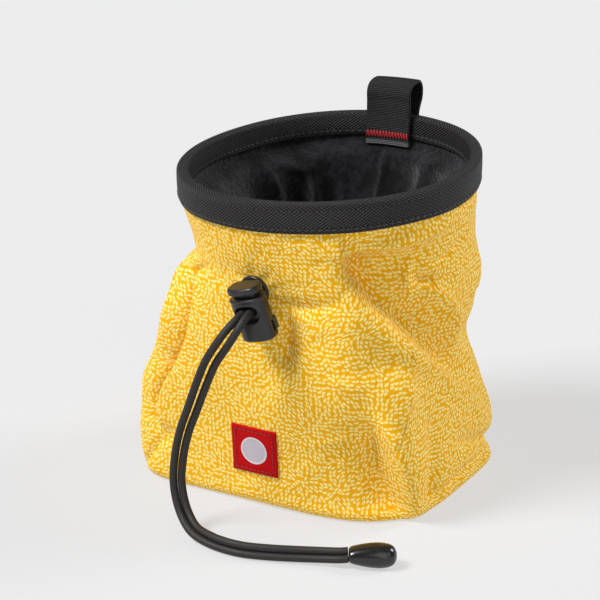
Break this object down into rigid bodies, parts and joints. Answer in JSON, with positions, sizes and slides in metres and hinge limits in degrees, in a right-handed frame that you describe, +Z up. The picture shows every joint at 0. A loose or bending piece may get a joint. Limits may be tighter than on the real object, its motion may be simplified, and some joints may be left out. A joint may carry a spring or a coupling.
{
  "type": "climbing chalk bag",
  "caption": "Soft round bucket bag with a bound open mouth, fleece lining, belt loop at the back and a drawstring with a cord lock and end piece at the front.",
  "frame": {"origin": "middle of the flat base, on the surface that the bag stands on", "axes": "+Z up through the open mouth, -Y towards the front with the eyelet and the label, +Y towards the belt loop, +X to the right seen from the front"},
  "size_m": [0.1338, 0.1623, 0.1485],
  "materials": {
    "printed_cloth": "matt woven cloth, golden yellow with short pale dashes",
    "fleece": "short soft pile",
    "webbing": "woven twill webbing",
    "red_thread": "satin sewing thread",
    "eyelet_ring": "glossy",
    "lock_plastic": "satin moulded plastic",
    "cord_braid": "fine braided cord",
    "end_plastic": "glossy moulded plastic",
    "label_patch": "woven red patch"
  },
  "bodies": {
    "bag": {"bag_shell": "printed_cloth", "bag_base": "printed_cloth", "bag_lining": "fleece", "rim_binding": "webbing", "belt_loop": "webbing", "drawstring_eyelet": "eyelet_ring", "front_label": "label_patch", "cord_left": "cord_braid", "cord_right": "cord_braid", "cord_lock_body": "lock_plastic", "cord_end": "end_plastic"},
    "button": {"cord_lock_button": "lock_plastic"}
  },
  "joints": [
    {"name": "button_press", "type": "slide", "parent": "bag", "child": "button", "axis": [0.2449, 0.1736, -0.9539], "range_m": [0, 0.0015], "stiffness_N_per_m": 450, "springref_m": -0.006}
  ]
}
